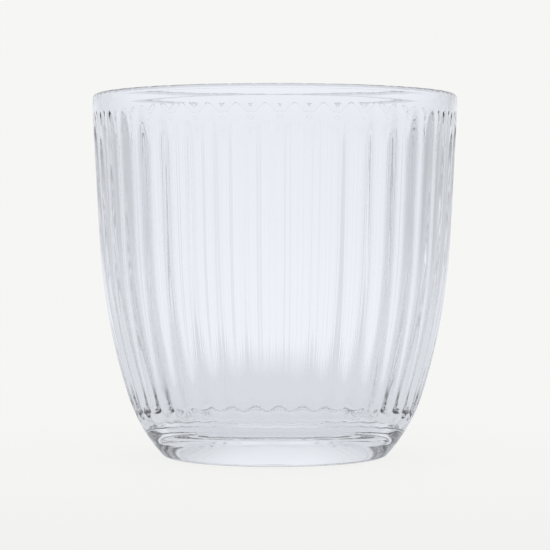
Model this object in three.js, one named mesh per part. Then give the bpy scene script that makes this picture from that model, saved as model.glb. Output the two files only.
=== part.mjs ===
// A pressed glass tumbler: one piece of clear glass with a smooth lip, upright ribs with rounded tops,
// a wall that curves in to the foot, a thick base and a shallow recess under it.
// It stands on z = 0 with its axis on z.

import * as THREE from "three";

// Lip and overall size, in millimetres
const rimDiameter = 85;
const glassHeight = 84.4;
const lipWall = 1.9;
const bandHeight = 2.8;
const bandStep = 0.15;

// Outer wall, down the crests of the ribs: a straight taper, the belly's arc, the foot's arc, the heel
const bellyRadius = 145;
const footRadius = 36.8;
const heelRadius = 2;
const taperAngle = THREE.MathUtils.degToRad(3);
const bellyAngle = THREE.MathUtils.degToRad(17.6);
const footAngle = THREE.MathUtils.degToRad(42.5);

// Inside: the wall thickens towards the foot, and a soft corner leads to the floor
const footWall = 4;
const floorThickness = 7;
const cornerHeight = 6;
const cornerReach = 10.5;

// Underside: a flat ring that the glass stands on, a slope and a shallow crowned recess
const restRingWidth = 1.4;
const recessSlopeWidth = 6;
const recessDepth = 1.4;
const recessCrown = 0.4;

// Ribs: one soft wave after another round the wall, with rounded tops under the smooth band
const ribCount = 42;
const grooveDepth = 0.5;
const ribTopDrop = 2.8;
const archDrop = 0.6;
const archEdgeFall = 0.45;
const ribFootHeight = 11;
const ribFadeHeight = 5;
const ribTurnShare = 0.16;

// Steps of the surface
const stepsPerRib = 4;
const lipSteps = 6;
const innerWallSteps = 5;
const cornerSteps = 4;
const bellySteps = 5;
const fadeSteps = 2;
const footSteps = 3;
const heelSteps = 2;

const rimRadius = rimDiameter / 2;
const lipCentreHeight = glassHeight - lipWall / 2;
const bandBottom = glassHeight - bandHeight;
const heelTop = heelRadius * (1 - Math.sin(footAngle));
const footTop = heelTop + footRadius * (Math.sin(footAngle) - Math.sin(bellyAngle));
const bellyTop = footTop + bellyRadius * (Math.sin(bellyAngle) - Math.sin(taperAngle));
const cornerTop = floorThickness + cornerHeight;

// How far an arc has come in at a height, when it starts at the height top, tilted by startAngle
function arcInset(radius, startAngle, top, height) {
  const drop = Math.max(top - height, 0);
  const angle = Math.asin(Math.sin(startAngle) + drop / radius);
  return radius * (Math.cos(startAngle) - Math.cos(angle));
}

// Radius of the outer wall at a height, measured on the crests of the ribs
function crestRadius(height) {
  const straight = Math.min(bandBottom, Math.max(height, bellyTop));
  const taper = (bandBottom - straight) * Math.tan(taperAngle);
  const belly = arcInset(bellyRadius, taperAngle, bellyTop, Math.max(height, footTop));
  const foot = arcInset(footRadius, bellyAngle, footTop, Math.max(height, heelTop));
  return rimRadius - bandStep - taper - belly - foot;
}

// Radius of the inside wall at a height
function innerRadius(height) {
  const wall = THREE.MathUtils.lerp(footWall, lipWall, height / glassHeight);
  return crestRadius(height) - wall;
}

// How much of the groove's depth there is at a height: it runs out above the foot
function grooveShare(height) {
  return THREE.MathUtils.smoothstep(height, ribFootHeight, ribFootHeight + ribFadeHeight);
}

// A point of the profile. groove is the share of the groove's depth that is pressed in there,
// and arch is the share of the arches' drop that the point follows.
function ring(radius, height, groove = 0, arch = 0) {
  return { radius, height, groove, arch };
}

// Heights from one level to another in equal steps, without the first
function levels(from, to, steps) {
  return Array.from({ length: steps }, (_, i) => THREE.MathUtils.lerp(from, to, (i + 1) / steps));
}

// The inside, from the middle of the floor up to the start of the lip
function insideRings() {
  const wallFoot = new THREE.Vector2(innerRadius(cornerTop), cornerTop);
  const floorEdge = new THREE.Vector2(wallFoot.x - cornerReach, floorThickness);
  const turn = new THREE.Vector2(crestRadius(floorThickness) - footWall, floorThickness);
  const corner = new THREE.QuadraticBezierCurve(floorEdge, turn, wallFoot);
  const cornerRings = corner.getPoints(cornerSteps).map((point) => ring(point.x, point.y));
  const wallLevels = levels(cornerTop, lipCentreHeight, innerWallSteps).slice(0, -1);
  const wallRings = wallLevels.map((height) => ring(innerRadius(height), height));
  return [ring(0, floorThickness), ...cornerRings, ...wallRings];
}

// The lip is round over the whole thickness of the wall
function lipRings() {
  const centre = rimRadius - lipWall / 2;
  const half = new THREE.EllipseCurve(centre, lipCentreHeight, lipWall / 2, lipWall / 2, Math.PI, 0, true);
  return half.getPoints(lipSteps).map((point) => ring(point.x, point.y));
}

// The smooth band ends at the arches, where the surface steps in to the ribs and their grooves
function archRings() {
  const edge = glassHeight - ribTopDrop;
  const below = edge - archEdgeFall;
  const level = below - archDrop - archEdgeFall;
  return [
    ring(rimRadius, edge, 0, 1),
    ring(rimRadius - bandStep, below, 1, 1),
    ring(crestRadius(level), level, 1, 0),
  ];
}

// The ribbed wall and the plain foot below it
function wallRings() {
  const fadeTop = ribFootHeight + ribFadeHeight;
  const heights = [
    bellyTop,
    ...levels(bellyTop, fadeTop, bellySteps),
    ...levels(fadeTop, ribFootHeight, fadeSteps),
    ...levels(ribFootHeight, heelTop, footSteps),
  ];
  return heights.map((height) => ring(crestRadius(height), height, grooveShare(height)));
}

// The heel, the ring that the glass stands on and the recess under the base
function undersideRings() {
  const heelCentre = crestRadius(heelTop) - heelRadius * Math.cos(footAngle);
  const heel = new THREE.EllipseCurve(
    heelCentre, heelRadius, heelRadius, heelRadius, -footAngle, -Math.PI / 2, true,
  );
  const heelRings = heel.getPoints(heelSteps).slice(1).map((point) => ring(point.x, point.y));
  const restInner = heelCentre - restRingWidth;
  return [
    ...heelRings,
    ring(restInner, 0),
    ring(restInner - recessSlopeWidth, recessDepth),
    ring(0, recessDepth + recessCrown),
  ];
}

// Turns the profile round the axis, then presses the grooves and arches into it.
// The profile runs from under the base, up the outside and down the inside.
function glassGeometry() {
  const downwards = [...lipRings(), ...archRings(), ...wallRings(), ...undersideRings()];
  const rings = [...insideRings(), ...downwards].reverse();
  const profile = rings.map((point) => new THREE.Vector2(point.radius, point.height));
  const segments = ribCount * stepsPerRib;
  const geometry = new THREE.LatheGeometry(profile, segments);
  const position = geometry.attributes.position;
  for (let turn = 0; turn <= segments; turn++) {
    const across = (2 * (turn % stepsPerRib)) / stepsPerRib - 1;
    const dip = (grooveDepth * (1 - Math.cos(Math.PI * across))) / 2;
    const fall = archDrop * (1 - Math.sqrt(1 - across * across));
    rings.forEach((point, i) => {
      const index = turn * rings.length + i;
      const height = point.height - point.arch * fall;
      const taper = point.groove * point.arch * (crestRadius(point.height) - crestRadius(height));
      const radius = point.radius - point.groove * dip - taper;
      const scale = point.radius > 0 ? radius / point.radius : 1;
      position.setXYZ(index, position.getX(index) * scale, height, position.getZ(index) * scale);
    });
  }
  geometry.rotateX(Math.PI / 2);
  geometry.rotateZ((ribTurnShare * 2 * Math.PI) / ribCount);
  return geometry;
}

const clearGlass = new THREE.MeshStandardMaterial({
  color: new THREE.Color(0.93, 0.95, 0.97),
  roughness: 0.03,
  metalness: 0,
  transparent: true,
  opacity: 0.35,
});

const tumbler = new THREE.Group();
const body = new THREE.Mesh(glassGeometry(), clearGlass);
body.name = "glass_body";
tumbler.add(body);

export default tumbler;
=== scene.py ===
# A clear pressed glass tumbler with upright rounded ribs, on a pale floor in soft light.
import math

import bmesh
import bpy
import numpy as np
from mathutils import Matrix, Vector


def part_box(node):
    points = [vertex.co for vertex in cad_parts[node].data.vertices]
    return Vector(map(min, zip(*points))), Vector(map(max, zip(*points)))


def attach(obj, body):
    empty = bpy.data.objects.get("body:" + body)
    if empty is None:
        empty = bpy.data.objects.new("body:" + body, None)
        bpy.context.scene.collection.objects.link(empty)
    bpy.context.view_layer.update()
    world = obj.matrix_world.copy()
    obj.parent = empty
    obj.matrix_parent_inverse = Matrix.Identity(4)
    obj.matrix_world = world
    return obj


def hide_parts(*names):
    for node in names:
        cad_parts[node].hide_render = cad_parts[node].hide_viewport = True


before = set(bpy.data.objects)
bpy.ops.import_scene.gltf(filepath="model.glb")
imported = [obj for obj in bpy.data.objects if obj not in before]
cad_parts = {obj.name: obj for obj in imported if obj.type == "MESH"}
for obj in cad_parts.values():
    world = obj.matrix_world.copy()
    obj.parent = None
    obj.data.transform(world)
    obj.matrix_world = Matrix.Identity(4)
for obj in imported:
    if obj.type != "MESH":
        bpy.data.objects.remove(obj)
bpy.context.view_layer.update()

MM = 0.001

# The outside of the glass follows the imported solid
glass_low, glass_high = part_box("glass_body")
RIM_RADIUS = (glass_high.x - glass_low.x) / 2
GLASS_HEIGHT = glass_high.z - glass_low.z

# Lip and outer wall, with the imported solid's arcs and angles
LIP_WALL = 1.9 * MM
BAND_HEIGHT = 2.8 * MM
BELLY_RADIUS = 145 * MM
FOOT_RADIUS = 36.8 * MM
HEEL_RADIUS = 2 * MM
TAPER_ANGLE = math.radians(3)
BELLY_ANGLE = math.radians(17.6)
FOOT_ANGLE = math.radians(42.5)

# Inside and underside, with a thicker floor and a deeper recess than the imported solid's
FOOT_WALL = 4 * MM
FLOOR_THICKNESS = 7.7 * MM
CORNER_HEIGHT = 6 * MM
CORNER_REACH = 10.5 * MM
REST_RING_WIDTH = 3 * MM
RECESS_SLOPE_WIDTH = 3 * MM
RECESS_DEPTH = 2.5 * MM
RECESS_CROWN = 0.4 * MM

# Ribs: how deep the grooves are, how they start under the arches, and where the ribs end
RIB_COUNT = 42
GROOVE_DEPTH = 0.5 * MM
GROOVE_LEAD = 7 * MM
ARCH_EDGE_SHARE = 0.45
ARCH_EDGE_LEAD = 0.7 * MM
RIB_RISE = 0.08 * MM
RIB_RISE_LEAD = 2 * MM
RIB_TOP_DROP = 4 * MM
ARCH_DROP = 3 * MM
RIB_FOOT_HEIGHT = 7 * MM
RIB_FADE_HEIGHT = 10 * MM
RIB_TURN_SHARE = 0.18

# Steps of the surface
STEPS_PER_RIB = 12
FLOOR_STEPS = 4
CORNER_STEPS = 20
INNER_WALL_STEPS = 26
LIP_STEPS = 16
BAND_STEPS = 8
PLAIN_WALL_STEPS = 4
ARCH_STEPS = 28
RIBBED_WALL_STEPS = 12
FOOT_STEPS = 50
HEEL_STEPS = 8
RECESS_SLOPE_STEPS = 8
RECESS_STEPS = 5

# Clear glass, with the faint unevenness of a pressed surface
GLASS_COLOUR = (0.985, 0.993, 1)
GLASS_IOR = 1.52
WAVE_SCALE = 130
WAVE_DETAIL = 1
WAVE_STRENGTH = 0.1
WAVE_HEIGHT = 0.2 * MM
FILM_SCALE = 60
FILM_DETAIL = 3
FILM_ROUGHNESS = ((0.35, 0.02), (0.75, 0.04))

# The camera looks almost level at the middle of the glass. The sensor's width is in millimetres.
FRAME_PIXELS = 550
FOCAL_PIXELS = 2200
AXIS_PIXEL = 274.85
CAMERA_DISTANCE = 515 * MM
CAMERA_PITCH = math.radians(1.044)
AIM_HEIGHT = 42.385 * MM
SENSOR_WIDTH = 36

# Pale surroundings, as linear colours
BACKDROP = (0.922, 0.922, 0.905)
PLAIN_WHITE = (1, 1, 1)
ROOM_TINT = (0.97, 0.99, 1.04)

# The floor: its size in metres, what the glass shows of it, and how it dims towards the camera
FLOOR_REACH = 0.4
FLOOR_SIDES = 96
FLOOR_FADE_START = 0.17
FLOOR_FADE_END_SHARE = 0.98
FLOOR_THROUGH_GLASS = (0.71, 0.727, 0.766)
FLOOR_LIT_SHARE = 0.1
FLOOR_GAP = 0.05 * MM
FLOOR_FRONT_DIM = 0.955
FLOOR_DIM_START = 0.02
FLOOR_DIM_END = 0.16

# What the glass shows of the room: at each elevation, the light's level at some azimuths, both in degrees.
# Azimuth 0 is behind the glass, 90 is on its right and 180 is behind the camera. The levels come from a fit
# to the photograph's tones, and were then rounded and in part changed.
ROOM_LEVELS = (
    (-45, ((0, 0.85),)),
    (-16, ((-180, 0.84), (-60, 0.86), (0, 0.79), (60, 0.82), (180, 0.84))),
    (-4, (
        (-180, 0.57), (-100, 0.63), (-45, 0.57), (-22, 0.82), (-8, 0.95),
        (8, 0.95), (32, 0.6), (60, 0.53), (180, 0.57),
    )),
    (5, ((-180, 0.78), (-55, 0.67), (-12, 0.88), (12, 0.87), (50, 0.66), (180, 0.78))),
    (18, ((-180, 0.76), (-50, 0.7), (0, 0.74), (35, 0.62), (80, 0.64), (180, 0.76))),
    (42, ((0, 0.72),)),
    (80, ((0, 0.88),)),
)

# How far light is followed through the glass
THROUGH_BOUNCES = 24
GLOSSY_BOUNCES = 12
CLEAR_BOUNCES = 16

# Heights and places that follow from the sizes above
HEEL_TOP = HEEL_RADIUS * (1 - math.sin(FOOT_ANGLE))
FOOT_TOP = HEEL_TOP + FOOT_RADIUS * (math.sin(FOOT_ANGLE) - math.sin(BELLY_ANGLE))
BELLY_TOP = FOOT_TOP + BELLY_RADIUS * (math.sin(BELLY_ANGLE) - math.sin(TAPER_ANGLE))
BAND_BOTTOM = GLASS_HEIGHT - BAND_HEIGHT
LIP_CENTRE_HEIGHT = GLASS_HEIGHT - LIP_WALL / 2
CORNER_TOP = FLOOR_THICKNESS + CORNER_HEIGHT
RIBS_TOP = GLASS_HEIGHT - RIB_TOP_DROP
ARCHES_END = RIBS_TOP - ARCH_DROP - GROOVE_LEAD


def smooth(share):
    """0 to 1 with a soft start and end."""
    share = np.clip(share, 0, 1)
    return share * share * (3 - 2 * share)


def arc_inset(radius, start_angle, top, height):
    """How far an arc that starts at the height top, tilted by start_angle, has come in at a height."""
    drop = np.maximum(top - height, 0)
    angle = np.arcsin(math.sin(start_angle) + drop / radius)
    return radius * (math.cos(start_angle) - np.cos(angle))


def crest_radius(height):
    """Radius of the outer wall at a height, on the crests of the ribs."""
    straight = np.clip(height, BELLY_TOP, BAND_BOTTOM)
    taper = (BAND_BOTTOM - straight) * math.tan(TAPER_ANGLE)
    belly = arc_inset(BELLY_RADIUS, TAPER_ANGLE, BELLY_TOP, np.maximum(height, FOOT_TOP))
    foot = arc_inset(FOOT_RADIUS, BELLY_ANGLE, FOOT_TOP, np.maximum(height, HEEL_TOP))
    return RIM_RADIUS - taper - belly - foot


def inner_radius(height):
    """Radius of the inside wall at a height."""
    return crest_radius(height) - (FOOT_WALL + (LIP_WALL - FOOT_WALL) * height / GLASS_HEIGHT)


def shares(steps, first=1):
    """Equal steps up to 1, starting at the step named first."""
    return [i / steps for i in range(first, steps + 1)]


def wall_rings(top, bottom, steps, groove):
    """Rings of the outer wall from one height down to another. A ring is radius, height and groove share."""
    heights = [top + (bottom - top) * s for s in shares(steps)]
    return [(crest_radius(height), height, groove) for height in heights]


def inside_rings():
    """The inside, from the middle of the floor up to the lip."""
    wall_foot = inner_radius(CORNER_TOP)
    floor_edge = wall_foot - CORNER_REACH
    turn = crest_radius(FLOOR_THICKNESS) - FOOT_WALL
    rings = [(floor_edge * s, FLOOR_THICKNESS, 0) for s in shares(FLOOR_STEPS, 0)]
    for s in shares(CORNER_STEPS):
        radius = (1 - s) ** 2 * floor_edge + 2 * s * (1 - s) * turn + s * s * wall_foot
        rings.append((radius, FLOOR_THICKNESS + s * s * CORNER_HEIGHT, 0))
    for s in shares(INNER_WALL_STEPS)[:-1]:
        height = CORNER_TOP + s * (LIP_CENTRE_HEIGHT - CORNER_TOP)
        rings.append((inner_radius(height), height, 0))
    return rings


def lip_rings():
    """The lip, round over the whole thickness of the wall."""
    half = LIP_WALL / 2
    centre = RIM_RADIUS - half
    rings = []
    for s in shares(LIP_STEPS, 0):
        angle = math.pi * (1 - s)
        rings.append((centre + half * math.cos(angle), LIP_CENTRE_HEIGHT + half * math.sin(angle), 0))
    return rings


def upper_rings():
    """The smooth band, the plain wall under it, the ribs' arched tops and the ribbed wall."""
    return (
        wall_rings(LIP_CENTRE_HEIGHT, BAND_BOTTOM, BAND_STEPS, 0)
        + wall_rings(BAND_BOTTOM, RIBS_TOP, PLAIN_WALL_STEPS, 0)
        + wall_rings(RIBS_TOP, ARCHES_END, ARCH_STEPS, 1)
        + wall_rings(ARCHES_END, BELLY_TOP, RIBBED_WALL_STEPS, 1)
    )


def foot_rings():
    """The belly, where the ribs run out, and the plain foot down to the heel."""
    rings = []
    for radius, height, _ in wall_rings(BELLY_TOP, HEEL_TOP, FOOT_STEPS, 1):
        rings.append((radius, height, smooth((height - RIB_FOOT_HEIGHT) / RIB_FADE_HEIGHT)))
    return rings


def underside_rings():
    """The heel, the ring that the glass stands on and the recess under the base."""
    centre = crest_radius(HEEL_TOP) - HEEL_RADIUS * math.cos(FOOT_ANGLE)
    slope_start = centre - REST_RING_WIDTH
    recess = slope_start - RECESS_SLOPE_WIDTH
    rings = []
    for s in shares(HEEL_STEPS):
        angle = FOOT_ANGLE + s * (math.pi / 2 - FOOT_ANGLE)
        rings.append((centre + HEEL_RADIUS * math.cos(angle), HEEL_RADIUS * (1 - math.sin(angle)), 0))
    for s in shares(RECESS_SLOPE_STEPS, 0):
        rings.append((slope_start - RECESS_SLOPE_WIDTH * s, RECESS_DEPTH * smooth(s), 0))
    for s in shares(RECESS_STEPS):
        rings.append((recess * (1 - s), RECESS_DEPTH + RECESS_CROWN * (1 - (1 - s) ** 2), 0))
    return rings


def ring_points(ring, angles, across):
    """The points of one ring. Below the arches the ribs rise a little and the grooves sink in."""
    radius, height, groove = ring
    below_arch = RIBS_TOP - ARCH_DROP * (1 - np.sqrt(1 - across ** 2)) - height
    crest = (1 + np.cos(math.pi * across)) / 2
    rise = RIB_RISE * crest * smooth(below_arch / RIB_RISE_LEAD)
    edge = ARCH_EDGE_SHARE * smooth(below_arch / ARCH_EDGE_LEAD)
    deepening = (1 - ARCH_EDGE_SHARE) * smooth(below_arch / GROOVE_LEAD)
    dip = GROOVE_DEPTH * (1 - crest) * (edge + deepening)
    radii = radius + groove * (rise - dip) * radius / RIM_RADIUS
    heights = np.full_like(angles, height)
    return np.stack([radii * np.sin(angles), -radii * np.cos(angles), heights], axis=1)


def glass_mesh():
    """One closed surface, from the middle of the inside, over the lip, to the middle of the underside."""
    rings = inside_rings() + lip_rings() + upper_rings() + foot_rings() + underside_rings()
    columns = RIB_COUNT * STEPS_PER_RIB
    step = np.arange(columns)
    angles = (step / STEPS_PER_RIB + RIB_TURN_SHARE) * 2 * math.pi / RIB_COUNT
    across = 2 * (step % STEPS_PER_RIB) / STEPS_PER_RIB - 1
    points = np.concatenate([ring_points(ring, angles, across) for ring in rings[1:-1]])
    middle_inside = [0, 0, rings[0][1]]
    middle_under = [0, 0, rings[-1][1]]
    points = np.concatenate([points, [middle_inside, middle_under]])
    following = np.roll(step, -1)
    faces = []
    for row in range(len(rings) - 3):
        a = row * columns
        b = a + columns
        faces += np.stack([a + step, a + following, b + following, b + step], axis=1).tolist()
    last = (len(rings) - 3) * columns
    inside = len(points) - 2
    under = len(points) - 1
    faces += [(inside, j, i) for i, j in zip(step.tolist(), following.tolist())]
    faces += [(last + i, last + j, under) for i, j in zip(step.tolist(), following.tolist())]
    mesh = bpy.data.meshes.new("glass_body_surface")
    mesh.from_pydata(points.tolist(), [], faces)
    work = bmesh.new()
    work.from_mesh(mesh)
    bmesh.ops.recalc_face_normals(work, faces=work.faces)
    work.to_mesh(mesh)
    work.free()
    mesh.shade_smooth()
    return mesh


def add_node(tree, kind, **settings):
    """A shader node with its settings."""
    node = tree.nodes.new(kind)
    for name, value in settings.items():
        setattr(node, name, value)
    return node


def math_node(tree, operation, first, second=None):
    """A Math node. Each input is a socket or a number."""
    node = add_node(tree, "ShaderNodeMath", operation=operation)
    for socket, value in zip(node.inputs, (first, second)):
        if isinstance(value, bpy.types.NodeSocket):
            tree.links.new(value, socket)
        elif value is not None:
            socket.default_value = value
    return node.outputs[0]


def ramp_node(tree, factor, stops, easing="LINEAR"):
    """A colour ramp of grey levels."""
    node = add_node(tree, "ShaderNodeValToRGB")
    ramp = node.color_ramp
    ramp.interpolation = easing
    while len(ramp.elements) > 1:
        ramp.elements.remove(ramp.elements[-1])
    for i, (position, level) in enumerate(stops):
        element = ramp.elements[0] if i == 0 else ramp.elements.new(position)
        element.position = position
        element.color = (level, level, level, 1)
    tree.links.new(factor, node.inputs["Fac"])
    return node.outputs["Color"]


def mix_colours(tree, factor, first, second, blend="MIX"):
    """A mix of two colours. The factor is a socket or a number, and a colour is a socket or a tuple."""
    node = add_node(tree, "ShaderNodeMix", data_type="RGBA", blend_type=blend)
    sockets = [node.inputs["Factor"], *(s for s in node.inputs if s.type == "RGBA")]
    for socket, value in zip(sockets, (factor, first, second)):
        if isinstance(value, bpy.types.NodeSocket):
            tree.links.new(value, socket)
        elif isinstance(value, tuple):
            socket.default_value = (*value, 1)
        else:
            socket.default_value = value
    return next(s for s in node.outputs if s.type == "RGBA")


def glass_material():
    """Clear glass with soft waves in its surface and a faint film."""
    material = bpy.data.materials.new("clear_glass")
    material.use_nodes = True
    tree = material.node_tree
    shader = tree.nodes["Principled BSDF"]
    shader.inputs["Base Color"].default_value = (*GLASS_COLOUR, 1)
    shader.inputs["IOR"].default_value = GLASS_IOR
    shader.inputs["Transmission Weight"].default_value = 1
    coordinates = add_node(tree, "ShaderNodeTexCoord")
    waves = add_node(tree, "ShaderNodeTexNoise")
    waves.inputs["Scale"].default_value = WAVE_SCALE
    waves.inputs["Detail"].default_value = WAVE_DETAIL
    tree.links.new(coordinates.outputs["Object"], waves.inputs["Vector"])
    bump = add_node(tree, "ShaderNodeBump")
    bump.inputs["Strength"].default_value = WAVE_STRENGTH
    bump.inputs["Distance"].default_value = WAVE_HEIGHT
    tree.links.new(waves.outputs["Fac"], bump.inputs["Height"])
    tree.links.new(bump.outputs["Normal"], shader.inputs["Normal"])
    film = add_node(tree, "ShaderNodeTexNoise")
    film.inputs["Scale"].default_value = FILM_SCALE
    film.inputs["Detail"].default_value = FILM_DETAIL
    tree.links.new(coordinates.outputs["Object"], film.inputs["Vector"])
    roughness = ramp_node(tree, film.outputs["Fac"], FILM_ROUGHNESS)
    tree.links.new(roughness, shader.inputs["Roughness"])
    return material


def make_glass():
    """The glass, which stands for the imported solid."""
    glass = bpy.data.objects.new("glass_body_look", glass_mesh())
    bpy.context.scene.collection.objects.link(glass)
    glass.data.materials.append(glass_material())
    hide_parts("glass_body")
    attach(glass, "root")
    return glass


def floor_mesh():
    """A flat disc just under the glass."""
    mesh = bpy.data.meshes.new("floor_surface")
    work = bmesh.new()
    bmesh.ops.create_circle(work, cap_ends=True, segments=FLOOR_SIDES, radius=FLOOR_REACH)
    work.to_mesh(mesh)
    work.free()
    mesh.transform(Matrix.Translation((0, 0, -FLOOR_GAP)))
    return mesh


def floor_material():
    """A pale floor that glows, takes a faint shadow and fades out. The glass shows it darker."""
    material = bpy.data.materials.new("pale_floor")
    material.use_nodes = True
    tree = material.node_tree
    shader = tree.nodes["Principled BSDF"]
    shader.inputs["Base Color"].default_value = (*(FLOOR_LIT_SHARE * level for level in BACKDROP), 1)
    shader.inputs["Roughness"].default_value = 1
    shader.inputs["Specular IOR Level"].default_value = 0
    shader.inputs["Emission Strength"].default_value = 1
    coordinates = add_node(tree, "ShaderNodeTexCoord")
    parts = add_node(tree, "ShaderNodeSeparateXYZ")
    tree.links.new(coordinates.outputs["Object"], parts.inputs[0])
    front = math_node(tree, "DIVIDE", parts.outputs["Y"], -FLOOR_DIM_END)
    glow = tuple((1 - FLOOR_LIT_SHARE) * level for level in BACKDROP)
    through = tuple(level - FLOOR_LIT_SHARE * BACKDROP[0] for level in FLOOR_THROUGH_GLASS)
    dimming = ramp_node(tree, front, ((FLOOR_DIM_START / FLOOR_DIM_END, 1), (1, FLOOR_FRONT_DIM)))
    seen = mix_colours(tree, 1, glow, dimming, "MULTIPLY")
    path = add_node(tree, "ShaderNodeLightPath")
    emission = mix_colours(tree, path.outputs["Is Camera Ray"], through, seen)
    tree.links.new(emission, shader.inputs["Emission Color"])
    length = add_node(tree, "ShaderNodeVectorMath", operation="LENGTH")
    tree.links.new(coordinates.outputs["Object"], length.inputs[0])
    share = math_node(tree, "DIVIDE", length.outputs["Value"], FLOOR_REACH)
    fade_start = FLOOR_FADE_START / FLOOR_REACH
    fade = ramp_node(tree, share, ((fade_start, 1), (FLOOR_FADE_END_SHARE, 0)), "EASE")
    tree.links.new(fade, shader.inputs["Alpha"])
    return material


def make_floor():
    """The pale floor that the glass stands on."""
    floor = bpy.data.objects.new("floor", floor_mesh())
    bpy.context.scene.collection.objects.link(floor)
    floor.data.materials.append(floor_material())
    return floor


def room_colour(tree):
    """The room's light round the glass, from its levels at each elevation and azimuth."""
    coordinates = add_node(tree, "ShaderNodeTexCoord")
    parts = add_node(tree, "ShaderNodeSeparateXYZ")
    tree.links.new(coordinates.outputs["Generated"], parts.inputs[0])
    azimuth = math_node(tree, "ARCTAN2", parts.outputs["X"], parts.outputs["Y"])
    turn = math_node(tree, "ADD", math_node(tree, "DIVIDE", azimuth, 2 * math.pi), 0.5)
    elevation = math_node(tree, "ARCSINE", parts.outputs["Z"])
    height = math_node(tree, "ADD", math_node(tree, "DIVIDE", elevation, math.pi), 0.5)
    colour = None
    below = None
    for degrees, levels in ROOM_LEVELS:
        ring = ramp_node(tree, turn, [((a + 180) / 360, level) for a, level in levels])
        here = (degrees + 90) / 180
        if colour is None:
            colour = ring
        else:
            share = ramp_node(tree, height, ((below, 0), (here, 1)))
            colour = mix_colours(tree, share, colour, ring)
        below = here
    return mix_colours(tree, 1, colour, ROOM_TINT, "MULTIPLY")


def make_world():
    """A pale backdrop for the camera, and a soft room with other levels that the glass shows instead."""
    world = bpy.data.worlds.new("studio")
    bpy.context.scene.world = world
    world.use_nodes = True
    tree = world.node_tree
    path = add_node(tree, "ShaderNodeLightPath")
    glossy = path.outputs["Is Glossy Ray"]
    through = math_node(tree, "MAXIMUM", glossy, path.outputs["Is Transmission Ray"])
    plain = mix_colours(tree, path.outputs["Is Camera Ray"], PLAIN_WHITE, BACKDROP)
    colour = mix_colours(tree, through, plain, room_colour(tree))
    tree.links.new(colour, tree.nodes["Background"].inputs["Color"])


def make_camera():
    """A camera that looks almost level at the glass, whose axis is near the middle of its frame."""
    data = bpy.data.cameras.new("camera")
    camera = bpy.data.objects.new("camera", data)
    bpy.context.scene.collection.objects.link(camera)
    aim = Vector((0, 0, AIM_HEIGHT))
    back = Vector((0, -math.cos(CAMERA_PITCH), math.sin(CAMERA_PITCH)))
    camera.location = aim + back * CAMERA_DISTANCE
    camera.rotation_euler = (math.pi / 2 - CAMERA_PITCH, 0, 0)
    data.sensor_width = SENSOR_WIDTH
    data.lens = SENSOR_WIDTH * FOCAL_PIXELS / FRAME_PIXELS
    data.shift_x = (FRAME_PIXELS / 2 - AXIS_PIXEL) / FRAME_PIXELS
    bpy.context.scene.camera = camera


make_camera()
make_world()
make_floor()
make_glass()

scene = bpy.context.scene
scene.view_settings.view_transform = "Standard"
scene.cycles.max_bounces = THROUGH_BOUNCES
scene.cycles.transmission_bounces = THROUGH_BOUNCES
scene.cycles.glossy_bounces = GLOSSY_BOUNCES
scene.cycles.transparent_max_bounces = CLEAR_BOUNCES
scene.cycles.use_denoising = True
